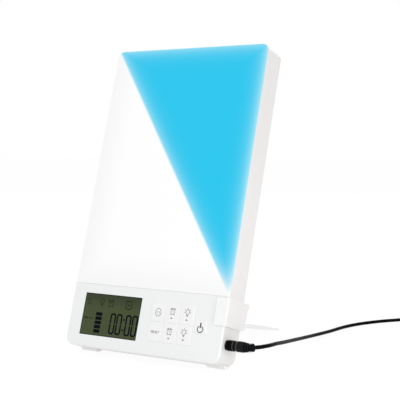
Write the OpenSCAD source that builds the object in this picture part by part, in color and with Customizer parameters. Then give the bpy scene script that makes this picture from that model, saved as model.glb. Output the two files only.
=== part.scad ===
// Desk light-therapy lamp: a flat lit panel that leans back on a clip-on stand.
// Millimetres, +Z up. The origin is on the table, at the middle of the footprint.
// The lamp is drawn upright first (X width, Y depth from the front face, Z up
// its front) and in_body() then leans it back onto its feet.

/* [Body] */
// Width of the lamp body
body_w = 144; // [136:1:180]
// Length of the lamp body, from its bottom edge to its top edge
body_h = 250; // [200:1:300]
// Depth of the lamp body, from the front face to the back face
body_t = 26; // [25.5:0.5:32]
// Corner radius of the body seen from the front
corner_r = 8; // [5:0.5:12]
// Radius of the casing's two upper corners, seen from the front
top_r = 5; // [5:0.5:12]
// Radius of the back cover's rear edges
edge_r = 2.5; // [1:0.5:4]
// Wall of the back cover
wall = 2.2; // [1.8:0.1:2.6]
// Thickness of the back cover's rear face
back_t = 2.4; // [2.2:0.1:3]
// Angle at which the front face leans back
lean = 17.4; // [12:0.2:22]

/* [Front] */
// Thickness of the diffuser and of the control panel
panel_t = 1.8; // [1.4:0.1:2]
// Height of the control panel up to the seam with the diffuser
panel_h = 50.4; // [49.6:0.2:60]
// Width of the seam between diffuser and control panel
seam = 0.2; // [0.1:0.05:0.6]
// Chamfer round the front of the diffuser and the control panel
front_chamfer = 0.7; // [0.4:0.1:1]
// Width of the display window
lcd_w = 55.4; // [46:0.2:56]
// Height of the display window
lcd_h = 33.5; // [28:0.1:34]
// Middle of the display window, across the body
lcd_x = -31.8; // [-32:0.1:-30]
// Middle of the display window, above the bottom edge
lcd_z = 26.1; // [25.5:0.1:27]

/* [Keys] */
// Width of one key
key_w = 11.9; // [10:0.1:12.6]
// Height of one key
key_h = 14.3; // [12:0.1:15]
// Space between neighbouring keys of the block of six
key_space = 1.2; // [1.2:0.1:1.6]
// Middle of the block of six keys, across the body
keys_x = 25.8; // [25.4:0.1:26]
// Middle of the block of six keys, above the bottom edge
keys_z = 25.7; // [25.4:0.1:26.5]
// Side of the square power key
power_w = 9.6; // [8:0.1:10]
// Space between the block of six keys and the power key
power_space = 2.95; // [2:0.05:3.5]
// Height of the power key's middle above the bottom edge
power_z = 25.3; // [24:0.1:30]
// How far the keys stand out of the control panel
key_proud = 0.4; // [0.2:0.1:0.8]
// Key travel
key_travel = 0.5; // [0.3:0.05:0.6]
// Gap between a key and the edge of its opening
key_gap = 0.12; // [0.1:0.02:0.25]

/* [Stand] */
// Height of the bracket's lower edge above the body's bottom edge
clip_z = 28.2; // [27.8:0.1:40]
// Height of the bracket along the side of the body
clip_h = 21.3; // [20:0.1:26]
// Width of the bracket's lip on the front face
lip_w = 9.9; // [6:0.1:11]
// Wall of the bracket
clip_t = 1.5; // [1.2:0.1:2]
// Thickness of the bracket's bar across the back
bar_t = 2.6; // [2.2:0.1:3]
// Gap between the bracket and the body
clip_gap = 0.1; // [0.05:0.05:0.3]
// Leg length, from the hinge pin to the rubber strip at its end
leg_len = 140; // [120:1:150]
// Leg width at the hinge
leg_w = 100; // [80:1:104]
// Leg width at its free end
leg_end_w = 64; // [50:1:76]
// Leg thickness at the hinge
leg_t = 3.6; // [3:0.1:3.8]
// Leg thickness at its free end
leg_end_t = 1.2; // [1:0.1:1.6]
// Length over which the leg thins towards its free end
leg_thin = 54; // [40:1:60]
// Diameter of the hinge pin
pin_d = 2; // [1.6:0.1:2.2]
// Running clearance round the hinge pin
pin_gap = 0.05; // [0.02:0.01:0.1]

/* [Cord] */
// Diameter of the cord
cord_d = 3; // [2.6:0.1:3.2]
// Diameter of the round overmould of the low-voltage plug
plug_d = 8.1; // [8:0.1:9.6]
// Length of the plug's overmould, without its strain relief
plug_len = 15; // [14:0.1:22]
// Angle through which the plug's strain relief has bent
relief_bend = 55; // [40:1:70]
// Radius of the bent strain relief
relief_r = 6; // [6:0.1:12]
// Radius of a loop half way in to the coil
coil_r = 17; // [16:0.5:18]
// Loops in each of the coil's four layers
layer_loops = 2.5; // [2.5:1:3.5]
// Distance between neighbouring loops of one layer
loop_step = 3.7; // [3.7:0.1:4]
// Distance between the layers
layer_step = 3.6; // [3.6:0.1:4]

/* [Hidden] */
$fn = 40;

eps = 0.01;
fit = 0.15;

// Feet: two rubber rolls under the rear of the bottom face.
foot_r = 5;
foot_y = body_t - 6;
foot_z = 3;
foot_sunk = 0.8;
foot_flat = 0.25;
foot_len = 16;
foot_x = body_w / 2 - 12;

// Hinge of the leg, in the upright lamp.
bar_y = body_t + fit;
hinge_y = bar_y + bar_t + 2.25;
hinge_z = clip_z + 4.8;
strip_r = 1.1;
strip_flat = 0.15;

// The leaning body: its lift off the table, and the leg's fall to the table.
lift = foot_y * sin(lean) - foot_z * cos(lean) + foot_r - foot_flat;
hinge_up = hinge_z * cos(lean) - hinge_y * sin(lean) + lift;
leg_fall = asin((hinge_up - strip_r + strip_flat) / leg_len);
front_to_hinge = hinge_y * cos(lean) + hinge_z * sin(lean);
footprint = front_to_hinge + leg_len * cos(leg_fall) + strip_r;

// Depths inside the body, measured from its front face.
board_y = 12.2;
key_pitch_x = key_w + key_space;
key_pitch_z = key_h + key_space;
key_flange = key_space / 2 - key_gap;
power_x = keys_x + key_pitch_x + key_w / 2 + power_space + power_w / 2;
board_t = 1.6;
led_y = 17;
led_t = 1.2;
switch_h = 3.5;
led_pitch = (body_w - 36) / 5;
stem_end = board_y - switch_h - key_travel - 0.1;
rim_in = wall + 0.2;
rim_t = 1.2;
rim_y = panel_t + 2.8;
post_x = body_w / 2 - wall - 4.3;
post_z = wall + 3.8;
post_r = 3;
post_y = 12;

// Sockets and openings of the body.
jack_y = 8.4;
jack_z = post_z + 9.5;
speaker_x = -40;
speaker_z = 15;
speaker_r = 11;
cell_x = 33;
cell_z = 14.6;
cell_r = 10;
door_w = 31;
door_h = 22.6;

// Where the cord leaves the plug, and the points that it is laid through.
plug_x = body_w / 2 + 0.3;
jack_point = body_point(plug_x, jack_y, jack_z);
relief_start = jack_point + [plug_len, 0, 0];
relief_dir = [cos(relief_bend), sin(relief_bend), 0];
relief_arc = [for (i = [0:10]) let (a = relief_bend * i / 10)
    relief_start + [0.8 + relief_r * sin(a), relief_r * (1 - cos(a)), 0]];
relief_route = concat([relief_start], relief_arc, [relief_arc[10] + 0.8 * relief_dir,
    relief_arc[10] + 1.6 * relief_dir]);
relief_end = relief_route[13];
coil_at = [136, 212, 1.5];
coil_turns = 4 * layer_loops;
coil_lead = 3;
cord_points = [relief_end, relief_end + cord_d * relief_dir, [97.9, -65.9, 20.3],
    [98.9, -61.8, 20.25], [98.8, -56.2, 19.85], [97.2, -46, 18.8], [92, -23, 15.4], [85, 5, 11.3],
    [78.7, 35, 7.3], [74.7, 65, 4.1], [74, 98, 2], [76, 127, 1.65], [82, 150, 1.56],
    [93, 172, 1.54], [106, 190, 1.53], coil_start() - [0, cord_d, 0], coil_start()];
adapter_at = [166, 240, 0];
adapter_l = 68;
adapter_w = 44;
adapter_t = 30;
blade_up = 17;
tail_end = adapter_at + [-11, 0, 16];
tail_points = [coil_end(), coil_end() + [0, cord_d, 0], [117, 228, 13], [124, 236, 14],
    [136, 240, 15.5], tail_end - [cord_d, 0, 0], tail_end];

echo(str("leg slope ", leg_fall, " deg, footprint ", footprint, " mm"));
echo(str("cord: free ", path_length(smooth(cord_points)), ", coil ", path_length(coil_path()),
    ", tail ", path_length(smooth(tail_points)), " mm"));
echo(str("lowest point of the cord ", min([for (p = concat(smooth(cord_points), smooth(tail_points)))
    p[2]]) - cord_d / 2, " mm"));
echo(str("least gap between the coil's loops ", coil_gap(), " mm"));

// ---------------------------------------------------------------- functions

function body_point(x, y, z) = [x, y * cos(lean) + z * sin(lean) - footprint / 2,
    z * cos(lean) - y * sin(lean) + lift];

// An arc as points, and a rectangle with round corners, lower and upper radius.
function arc(c, r, a0, a1, n = 6) = [for (i = [0:n]) c + r * [cos(a0 + (a1 - a0) * i / n),
    sin(a0 + (a1 - a0) * i / n)]];
function round_box(x0, z0, x1, z1, rb, rt) = concat(
    arc([x0 + rb, z0 + rb], rb, 180, 270), arc([x1 - rb, z0 + rb], rb, 270, 360),
    arc([x1 - rt, z1 - rt], rt, 0, 90), arc([x0 + rt, z1 - rt], rt, 90, 180));
function middle_box(x, z, w, h, r) = round_box(x - w / 2, z - h / 2, x + w / 2, z + h / 2, r, r);
function outline(inset) = round_box(-body_w / 2 + inset, inset, body_w / 2 - inset,
    body_h - inset, corner_r - inset, top_r - inset);
// Along the seam the edges are left almost sharp, so that it closes to a fine line.
function panel_outline(inset) = round_box(-body_w / 2 + inset, inset, body_w / 2 - inset,
    panel_h - seam / 2 - seam_inset(inset), corner_r - inset, 0.3);
function diffuser_outline(inset) = round_box(-body_w / 2 + inset,
    panel_h + seam / 2 + seam_inset(inset), body_w / 2 - inset, body_h - inset, 0.3,
    top_r - inset);
function seam_inset(inset) = inset > front_chamfer ? inset : min(inset, 0.1);

function key_x(column) = keys_x + (column - 1) * key_pitch_x;
function key_z(row) = keys_z + (row - 0.5) * key_pitch_z;

// A smooth route through points: its first and last spans stay straight.
function spline_point(p, i, t) = let (a = p[max(i - 1, 0)], b = p[i], c = p[i + 1],
    d = p[min(i + 2, len(p) - 1)])
    0.5 * (2 * b + (c - a) * t + (2 * a - 5 * b + 4 * c - d) * t * t
    + (3 * b - a - 3 * c + d) * t * t * t);
function smooth(p, n = 4) = concat([p[0]], [for (i = [1:len(p) - 3]) for (j = [0:n - 1])
    spline_point(p, i, j / n)], [p[len(p) - 2], p[len(p) - 1]]);
function path_length(p, i = 0) = i >= len(p) - 1 ? 0 : norm(p[i + 1] - p[i]) + path_length(p, i + 1);
function heading(p, i) = let (v = p[min(i + 1, len(p) - 1)] - p[max(i - 1, 0)]) v / norm(v);

// The coil: four layers that spiral in and out, climbing where the spiral reverses.
function coil_radius(t) = let (k = min(floor(t / layer_loops), 3), u = t - k * layer_loops)
    coil_r + loop_step * layer_loops / 2 - loop_step * (k % 2 == 0 ? u : layer_loops - u);
function climb(t, k) = min(max((t - k * layer_loops) * 2 + 0.5, 0), 1);
function coil_point(t) = coil_at + [-coil_radius(t) * cos(360 * t), coil_radius(t) * sin(360 * t),
    layer_step * (climb(t, 1) + climb(t, 2) + climb(t, 3))];
function coil_start() = coil_point(0) - [0, coil_lead, 0];
function coil_end() = coil_point(coil_turns) + [0, coil_lead, 0];
function coil_path() = concat([coil_start()],
    [for (i = [0:24 * coil_turns]) coil_point(i / 24)], [coil_end()]);
function coil_gap() = min([for (i = [0:6:24 * coil_turns - 16], j = [i + 16:2:24 * coil_turns])
    norm(coil_point(i / 24) - coil_point(j / 24))]) - cord_d;

// ------------------------------------------------------------------ helpers

module in_body() {
    translate([0, -footprint / 2, lift])
        rotate([-lean, 0, 0])
            children();
}

// A shape drawn in X-Z, standing between two depths.
module slab(y0, y1) {
    translate([0, y1, 0])
        rotate([90, 0, 0])
            linear_extrude(height = y1 - y0)
                children();
}

// A profile drawn in Y-Z, carried along X.
module along_x(x0, x1) {
    translate([x0, 0, 0])
        rotate([90, 0, 90])
            linear_extrude(height = x1 - x0)
                children();
}

module rod_x(x0, x1, y, z, r) {
    translate([x0, y, z])
        rotate([0, 90, 0])
            cylinder(h = x1 - x0, r = r);
}

module rod_y(x, z, y0, y1, r) {
    translate([x, y0, z])
        rotate([-90, 0, 0])
            cylinder(h = y1 - y0, r = r);
}

// A tube of n sides through the path's points, with a radius at each of them.
module tube(path, radii, n) {
    rings = [for (i = [0:len(path) - 1])
        let (t = heading(path, i), s = cross([0, 0, 1], t) / norm(cross([0, 0, 1], t)), u = cross(t, s))
            for (k = [0:n - 1])
                path[i] + radii[i] * (cos(360 * k / n) * s + sin(360 * k / n) * u)];
    last = (len(path) - 1) * n;
    polyhedron(rings, concat(
        [for (k = [1:n - 2]) [0, k, k + 1]],
        [for (k = [1:n - 2]) [last, last + k + 1, last + k]],
        [for (i = [0:n:last - 1], k = [0:n - 1]) [i + k, i + n + k, i + n + (k + 1) % n]],
        [for (i = [0:n:last - 1], k = [0:n - 1]) [i + k, i + n + (k + 1) % n, i + (k + 1) % n]]));
}

module cord_tube(path, n) {
    tube(path, [for (p = path) cord_d / 2], n);
}

// ------------------------------------------------------------------- casing

module back_cover() {
    color("whitesmoke")
        in_body()
            difference() {
                union() {
                    difference() {
                        hull()
                            for (a = [0:22.5:90])
                                slab(panel_t, body_t - edge_r * (1 - sin(a)))
                                    polygon(outline(edge_r * (1 - cos(a))));
                        slab(panel_t - 1, body_t - back_t)
                            polygon(outline(wall));
                    }
                    for (side = [-1, 1], end = [post_z, body_h - post_z])
                        rod_y(side * post_x, end, post_y + 0.2, body_t - back_t, post_r + 0.2);
                    bar_hooks();
                    stiffening_ribs();
                }
                for (side = [-1, 1], end = [post_z, body_h - post_z])
                    rod_y(side * post_x, end, post_y - 1, body_t + 1, 1.6);
                for (side = [-1, 1], end = [post_z, body_h - post_z])
                    rod_y(side * post_x, end, body_t - 1.6, body_t + 1, 2.9);
                for (side = [-1, 1])
                    foot_recess(side);
                rod_x(body_w / 2 - wall - 1, body_w / 2 + 1, jack_y, jack_z, 3.8);
                speaker_holes();
                cell_opening();
                vent_slots();
            }
}

// Hooks that hold the far end of the bracket's bar against the back.
module bar_hooks() {
    for (side = [0, 1])
        translate([0, 0, side * (2 * clip_z + clip_h + 1)])
            mirror([0, 0, side])
                along_x(-body_w / 2 + 4, -body_w / 2 + 13)
                    polygon([[body_t - 1, clip_z - 1.2], [body_t + 4.1, clip_z - 1.2],
                        [body_t + 4.1, clip_z + 2], [bar_y + bar_t + fit, clip_z + 2],
                        [bar_y + bar_t + fit, clip_z + 0.3], [body_t - 1, clip_z + 0.3]]);
}

module stiffening_ribs() {
    for (x = [-46:23:46])
        slab(led_y + led_t + 0.6, body_t - back_t)
            polygon(round_box(x - 0.6, panel_h + 6, x + 0.6, body_h - 14, 0.3, 0.3));
}

module foot_recess(side) {
    translate([side * foot_x - foot_len / 2 - fit, foot_y - 4.7, -1])
        cube([foot_len + 2 * fit, 9.4, 1 + foot_sunk + 0.05]);
}

module speaker_holes() {
    rod_y(speaker_x, speaker_z, body_t - back_t - 1, body_t + 1, 0.9);
    for (ring = [1, 2], i = [0:6 * ring - 1])
        rod_y(speaker_x + 3.6 * ring * cos(60 * i / ring), speaker_z + 3.6 * ring * sin(60 * i / ring),
            body_t - back_t - 1, body_t + 1, 0.9);
}

module cell_opening() {
    slab(body_t - 2 - fit, body_t + 1)
        polygon(middle_box(cell_x, cell_z, door_w, door_h, 2));
    slab(body_t - back_t - 1, body_t)
        polygon(middle_box(cell_x + 2.8, cell_z, door_w - 7, door_h - 1.6, 2));
}

module vent_slots() {
    for (x = [-44:8:44])
        slab(body_t - back_t - 1, body_t + 1)
            polygon(round_box(x - 0.9, body_h - 36, x + 0.9, body_h - 20, 0.8, 0.8));
}

// The lit front: an opal sheet with a locating rim and two screw posts.
module diffuser() {
    color("white")
        in_body()
            union() {
                hull() {
                    slab(0, eps)
                        polygon(diffuser_outline(front_chamfer));
                    slab(front_chamfer, panel_t)
                        polygon(diffuser_outline(0));
                }
                difference() {
                    slab(panel_t - eps, rim_y)
                        polygon(diffuser_outline(rim_in));
                    slab(panel_t - 1, rim_y + 1)
                        polygon(diffuser_outline(rim_in + rim_t));
                }
                for (side = [-1, 1])
                    screw_post(side, body_h - post_z);
            }
}

module screw_post(side, z) {
    difference() {
        rod_y(side * post_x, z, panel_t - eps, post_y, post_r);
        rod_y(side * post_x, z, panel_t + 1, post_y + 1, 1.45);
    }
}

module control_panel() {
    color("whitesmoke")
        in_body()
            difference() {
                union() {
                    hull() {
                        slab(0, eps)
                            polygon(panel_outline(front_chamfer));
                        slab(front_chamfer, panel_t)
                            polygon(panel_outline(0));
                    }
                    difference() {
                        slab(panel_t - eps, rim_y)
                            polygon(panel_outline(rim_in));
                        slab(panel_t - 1, rim_y + 1)
                            polygon(panel_outline(rim_in + rim_t));
                    }
                    for (side = [-1, 1])
                        screw_post(side, post_z);
                }
                slab(-1, panel_t + 1)
                    polygon(middle_box(lcd_x, lcd_z, lcd_w, lcd_h, 0.5));
                for (column = [0:2], row = [0, 1])
                    key_opening(key_x(column), key_z(row), key_w, key_h);
                key_opening(power_x, power_z, power_w, power_w);
            }
}

module key_opening(x, z, w, h) {
    slab(-1, panel_t + 1)
        polygon(middle_box(x, z, w + 2 * key_gap, h + 2 * key_gap, 1.2 + key_gap));
}

module rubber_feet() {
    color("dimgray")
        difference() {
            in_body()
                for (side = [-1, 1])
                    difference() {
                        rod_x(side * foot_x - foot_len / 2, side * foot_x + foot_len / 2,
                            foot_y, foot_z, foot_r);
                        translate([side * foot_x - foot_len, foot_y - 10, foot_sunk])
                            cube([2 * foot_len, 20, 20]);
                    }
            translate([-body_w, -body_h, -20])
                cube([2 * body_w, 2 * body_h, 20]);
        }
}

module case_screws() {
    color("silver")
        in_body()
            for (side = [-1, 1], end = [post_z, body_h - post_z])
                difference() {
                    union() {
                        rod_y(side * post_x, end, panel_t + 3, body_t - 1.6, 1.4);
                        rod_y(side * post_x, end, body_t - 1.6, body_t - 0.2, 2.7);
                    }
                    screw_cross(side * post_x, end);
                }
}

module screw_cross(x, z) {
    for (turn = [0, 90])
        translate([x, body_t - 0.2, z])
            rotate([0, turn, 0])
                translate([-1.6, -0.9, -0.3])
                    cube([3.2, 2, 0.6]);
}

// ------------------------------------------------------------------ display

module display_window() {
    color("darkolivegreen")
        in_body()
            slab(0.3, panel_t)
                polygon(middle_box(lcd_x, lcd_z, lcd_w - 2 * fit, lcd_h - 2 * fit, 0.4));
}

module display_glass() {
    color("olive")
        in_body()
            slab(panel_t + 0.2, panel_t + 3)
                polygon(middle_box(lcd_x, lcd_z, lcd_w + 1.4, lcd_h + 1.4, 0.3));
}

module display_carrier() {
    color("ghostwhite")
        in_body()
            difference() {
                slab(panel_t + 0.1, board_y - 0.1)
                    polygon(middle_box(lcd_x, lcd_z, lcd_w + 4, lcd_h + 4, 1));
                slab(0, panel_t + 3.1)
                    polygon(middle_box(lcd_x, lcd_z, lcd_w + 1.8, lcd_h + 1.8, 0.3));
                slab(panel_t + 4.5, board_y + 1)
                    polygon(middle_box(lcd_x, lcd_z, lcd_w - 4, lcd_h - 4, 0.5));
            }
}

// --------------------------------------------------------------------- keys

// One key: a capped plunger with a flange that keeps it behind the panel.
module key_cap(x, z, w, h) {
    color("white")
        in_body()
            union() {
                hull() {
                    slab(-key_proud, -key_proud + eps)
                        polygon(middle_box(x, z, w - 0.5, h - 0.5, 1.1));
                    slab(-key_proud + 0.25, panel_t + 1.2)
                        polygon(middle_box(x, z, w, h, 1.2));
                }
                slab(panel_t + 0.2, panel_t + 1.2)
                    polygon(middle_box(x, z, w + 2 * key_flange, h + 2 * key_flange, 0.5));
                rod_y(x, z, panel_t + 1, stem_end, 2.2);
            }
}

module block_key(column, row) {
    key_cap(key_x(column), key_z(row), key_w, key_h);
}

module key_sound() {
    block_key(0, 1);
}

module key_reset() {
    block_key(0, 0);
}

module key_alarm_up() {
    block_key(1, 1);
}

module key_alarm_down() {
    block_key(1, 0);
}

module key_light_up() {
    block_key(2, 1);
}

module key_light_down() {
    block_key(2, 0);
}

module key_power() {
    key_cap(power_x, power_z, power_w, power_w);
}

module key_switches() {
    color("dimgray")
        in_body() {
            for (column = [0:2], row = [0, 1])
                tact_switch(key_x(column), key_z(row));
            tact_switch(power_x, power_z);
        }
}

module tact_switch(x, z) {
    slab(board_y - switch_h + 0.7, board_y)
        polygon(middle_box(x, z, 6, 6, 0.3));
    rod_y(x, z, board_y - switch_h, board_y - switch_h + 0.8, 1.7);
}

// -------------------------------------------------------------- electronics

module control_board() {
    color("seagreen")
        in_body()
            slab(board_y, board_y + board_t)
                polygon(round_box(-61, 10, post_x + 2.6, panel_h - 2.4, 0.5, 0.5));
}

module power_board() {
    color("seagreen")
        in_body() {
            slab(16, 16 + board_t)
                polygon(round_box(-22, 5, 14, panel_h - 4, 0.5, 0.5));
            rod_y(-13, 16, 16 + board_t, 21.8, 5);
            rod_y(4, 14, 16 + board_t, 22.4, 3.1);
            slab(16 + board_t, 20)
                polygon(middle_box(-3, 34, 12, 9, 0.4));
        }
}

module led_lead() {
    color("ivory")
        in_body()
            along_x(-18, -6)
                polygon([[16 + board_t, panel_h - 10], [16 + board_t, panel_h - 6], [20.2, panel_h - 5],
                    [20.2, panel_h + 11], [led_y + led_t, panel_h + 12], [led_y + led_t, panel_h + 15],
                    [led_y + led_t + 0.6, panel_h + 15], [21, panel_h + 11.5], [21, panel_h - 5.5],
                    [16 + board_t + 0.6, panel_h - 6.5], [16 + board_t + 0.6, panel_h - 10]]);
}

module led_board() {
    color("silver")
        in_body()
            slab(led_y, led_y + led_t)
                polygon(round_box(-body_w / 2 + 5.5, panel_h + 3, body_w / 2 - 5.5, body_h - 12, 1, 1));
}

module white_leds() {
    color("lemonchiffon")
        in_body()
            for (i = [-2.5:2.5], k = [0:7])
                led_chip(i * led_pitch, panel_h + 18 + k * (body_h - panel_h - 48) / 7);
}

module blue_leds() {
    color("deepskyblue")
        in_body()
            for (i = [-2:2], k = [0:6])
                led_chip(i * led_pitch, panel_h + 18 + (k + 0.5) * (body_h - panel_h - 48) / 7);
}

module led_chip(x, z) {
    translate([x - 1.75, led_y - 0.8, z - 1.4])
        cube([3.5, 0.8, 2.8]);
}

// White frame that carries the LED board and throws its light at the diffuser.
module reflector_tray() {
    color("white")
        in_body()
            difference() {
                slab(rim_y + 0.2, led_y)
                    polygon(round_box(-body_w / 2 + 4.5, panel_h + 2, body_w / 2 - 4.5,
                        body_h - 11, 1, 1));
                slab(rim_y - 1, led_y + 1)
                    polygon(round_box(-body_w / 2 + 5.7, panel_h + 3.2, body_w / 2 - 5.7,
                        body_h - 12.2, 1, 1));
            }
}

module dc_jack() {
    color("dimgray")
        in_body()
            difference() {
                union() {
                    translate([body_w / 2 - wall - 12, 4.9, jack_z - 5.3])
                        cube([11.8, board_y - 5, 10.6]);
                    rod_x(body_w / 2 - wall - 1, body_w / 2 - 0.1, jack_y, jack_z, 3.5);
                }
                difference() {
                    rod_x(body_w / 2 - wall - 9.5, body_w / 2 + 1, jack_y, jack_z, 2.85);
                    rod_x(body_w / 2 - wall - 12, body_w / 2 - 1.2, jack_y, jack_z, 1);
                }
            }
}

module speaker() {
    color("dimgray")
        in_body()
            difference() {
                union() {
                    rod_y(speaker_x, speaker_z, body_t - back_t - 3, body_t - back_t - 0.1, speaker_r);
                    rod_y(speaker_x, speaker_z, body_t - back_t - 5.5, body_t - back_t - 3, 6);
                }
                rod_y(speaker_x, speaker_z, body_t - back_t - 1.2, body_t - back_t, speaker_r - 1.2);
            }
}

module cell_holder() {
    color("ivory")
        in_body()
            difference() {
                slab(body_t - 8.4, body_t - back_t - 0.2)
                    polygon(middle_box(cell_x + 2.8, cell_z, 2 * cell_r + 4, 2 * cell_r + 3, 2));
                rod_y(cell_x + 2.8, cell_z, body_t - 6.4, body_t, cell_r + 0.3);
            }
}

module backup_cell() {
    color("silver")
        in_body() {
            rod_y(cell_x + 2.8, cell_z, body_t - 6.2, body_t - 5.4, cell_r - 1.4);
            rod_y(cell_x + 2.8, cell_z, body_t - 5.4, body_t - 3, cell_r);
        }
}

module cell_door() {
    color("whitesmoke")
        in_body()
            difference() {
                slab(body_t - 2, body_t)
                    polygon(middle_box(cell_x, cell_z, door_w - 2 * fit, door_h - 2 * fit, 1.9));
                rod_y(cell_x - door_w / 2 + 3.6, cell_z, body_t - 3, body_t + 1, 1.2);
                rod_y(cell_x - door_w / 2 + 3.6, cell_z, body_t - 1, body_t + 1, 2.1);
            }
}

module door_screw() {
    color("silver")
        in_body() {
            rod_y(cell_x - door_w / 2 + 3.6, cell_z, body_t - 2, body_t - 1, 1.1);
            rod_y(cell_x - door_w / 2 + 3.6, cell_z, body_t - 1, body_t - 0.2, 2);
        }
}

// -------------------------------------------------------------------- stand

// One moulding: a lip on the front face, a wall along the side, a finger ridge
// and a bar across the back that carries the hinge.
module stand_bracket() {
    side_x = body_w / 2 + clip_gap;
    color("whitesmoke")
        in_body()
            difference() {
                union() {
                    along_x(side_x, side_x + clip_t)
                        polygon(bracket_side());
                    along_x(side_x + clip_t - lip_w, side_x + clip_t)
                        polygon([[-clip_gap - 1.3, clip_z + 0.5], [-clip_gap - 0.9, clip_z],
                            [-clip_gap, clip_z], [-clip_gap, clip_z + clip_h - 0.8],
                            [-clip_gap - 0.9, clip_z + clip_h - 0.8],
                            [-clip_gap - 1.3, clip_z + clip_h - 1.3]]);
                    along_x(-body_w / 2 + 5, side_x + clip_t)
                        polygon([[bar_y, clip_z + 1], [bar_y + bar_t, clip_z + 1],
                            [bar_y + bar_t, clip_z + clip_h - 0.2], [bar_y, clip_z + clip_h - 0.2]]);
                    rod_x(side_x - 8, side_x + clip_t, bar_y + bar_t - 0.3, clip_z + clip_h - 2.2, 2);
                    for (x = [-leg_w / 2 - 8, -4, leg_w / 2 + 0.4])
                        hinge_knuckle(x, x == -4 ? 8 : 7.6);
                }
                rod_x(-leg_w / 2 - 6.5, leg_w / 2 + 6.5, hinge_y, hinge_z, pin_d / 2 + 0.02);
            }
}

function bracket_side() = concat([[-clip_gap - 1.3, clip_z + 0.5], [-clip_gap - 0.9, clip_z]],
    arc([body_t - 1, clip_z + 3.4], 3.4, 270, 315, 3),
    [[bar_y + bar_t, clip_z + 3.4], [bar_y + bar_t, clip_z + clip_h - 0.2],
    [-clip_gap - 0.9, clip_z + clip_h - 0.2], [-clip_gap - 1.3, clip_z + clip_h - 0.7]]);

module hinge_knuckle(x, length) {
    rod_x(x, x + length, hinge_y, hinge_z, 3);
    along_x(x, x + length)
        polygon([[bar_y + 0.5, hinge_z - 3], [hinge_y, hinge_z - 3], [hinge_y, hinge_z + 3],
            [bar_y + bar_t, hinge_z + 6], [bar_y + 0.5, hinge_z + 6]]);
}

// The leg is drawn flat along +Y from the hinge axis, then turned down to the table.
module at_hinge() {
    translate(body_point(0, hinge_y, hinge_z))
        rotate([-leg_fall, 0, 0])
            children();
}

// A tapered plate. Its square lower heel stops against the bracket's bar.
module stand_leg() {
    color("whitesmoke")
        at_hinge()
            difference() {
                intersection() {
                    along_x(-leg_w / 2, leg_w / 2)
                        polygon(leg_side());
                    translate([0, 0, -10])
                        linear_extrude(height = 20)
                            polygon(leg_plan());
                }
                for (side = [-1, 1])
                    leg_pocket(side);
                translate([-4.4, -10, -10])
                    cube([8.8, 17, 20]);
                rod_x(-leg_w, leg_w, 0, 0, pin_d / 2 + pin_gap);
            }
}

// The heel's face lies along the bar when the leg is open.
function leg_side() = let (open = lean - leg_fall) concat(
    arc([0, 0], 2.1, 90, 180, 5),
    [2.2 * [-cos(open), sin(open)] - 2.1 * [sin(open), cos(open)], [1, -2.1], [4, -leg_t / 2],
    [leg_len - leg_thin, -leg_t / 2], [leg_len - 1, -leg_end_t / 2], [leg_len - 1, leg_end_t / 2],
    [leg_len - leg_thin, leg_t / 2], [4, leg_t / 2]]);

function leg_plan() = concat([[-leg_w / 2, -3]], [[leg_w / 2, -3], [leg_w / 2, 12]],
    arc([leg_end_w / 2 - 5, leg_len - 6], 5, 10, 90, 5),
    arc([-leg_end_w / 2 + 5, leg_len - 6], 5, 90, 170, 5), [[-leg_w / 2, 12]]);

// Hollows under the leg leave a rim and a middle rib.
module leg_pocket(side) {
    translate([0, 0, -leg_t])
        linear_extrude(height = leg_t - 0.3)
            polygon([[side * 6, 14], [side * (leg_w / 2 - 6), 16],
                [side * (leg_end_w / 2 + 3), leg_len - leg_thin - 4], [side * 6, leg_len - leg_thin - 4]]);
}

module hinge_pin() {
    color("silver")
        in_body()
            rod_x(-leg_w / 2 - 6.4, leg_w / 2 + 6.4, hinge_y, hinge_z, pin_d / 2);
}

module leg_strip() {
    color("dimgray")
        difference() {
            at_hinge()
                difference() {
                    rod_x(-leg_end_w / 2 + 7, leg_end_w / 2 - 7, leg_len, 0, strip_r);
                    translate([-leg_w, leg_len - 5, -leg_end_t])
                        cube([2 * leg_w, 4, 2 * leg_end_t]);
                }
            translate([-body_w, -body_h, -20])
                cube([2 * body_w, 2 * body_h, 20]);
        }
}

// --------------------------------------------------------------- plug, cord

module on_plug() {
    translate(jack_point)
        rotate([0, 90, 0])
            children();
}

module plug_barrel() {
    color("silver")
        on_plug()
            difference() {
                translate([0, 0, -9.5])
                    cylinder(h = 9.5, r = 2.75);
                translate([0, 0, -10])
                    cylinder(h = 9.5, r = 1.15);
            }
}

module plug_body() {
    r = plug_d / 2;
    color("dimgray")
        on_plug()
            rotate_extrude()
                polygon(concat([[0, 0]], arc([r - 1.5, 1.5], 1.5, 270, 360), [[r, 6.8],
                    [r - 0.6, 7.1], [r - 0.6, 8.5], [r, 8.8], [r - 0.1, plug_len - 0.8],
                    [r - 0.3, plug_len], [0, plug_len]]));
}

// Ribbed strain relief: it thins towards the cord and has bent with it.
module plug_relief() {
    n = len(relief_route);
    color("dimgray")
        tube(relief_route, [for (i = [0:n - 1]) i > 10 ? cord_d / 2 + 0.3 * (13 - i)
            : plug_d / 2 - 0.3 - 0.07 * i - (i % 2 == 0 ? 0 : 0.6)], 16);
}

module dc_cord() {
    color("dimgray")
        cord_tube(smooth(cord_points), 8);
}

module cord_coil() {
    color("dimgray")
        cord_tube(coil_path(), 6);
}

module cord_tail() {
    color("dimgray")
        cord_tube(smooth(tail_points), 8);
}

// ------------------------------------------------------------------ adapter

// Wall adapter, lying on its back with its two flat blades up.
module adapter_case() {
    color("dimgray")
        translate(adapter_at)
            hull() {
                for (rise = [[0, 1.2], [1.2, 0], [adapter_t - 3, 0]])
                    translate([0, 0, rise[0]])
                        linear_extrude(height = eps)
                            polygon(round_box(rise[1], -adapter_w / 2 + rise[1], adapter_l - rise[1],
                                adapter_w / 2 - rise[1], 5, 5));
            }
}

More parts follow.
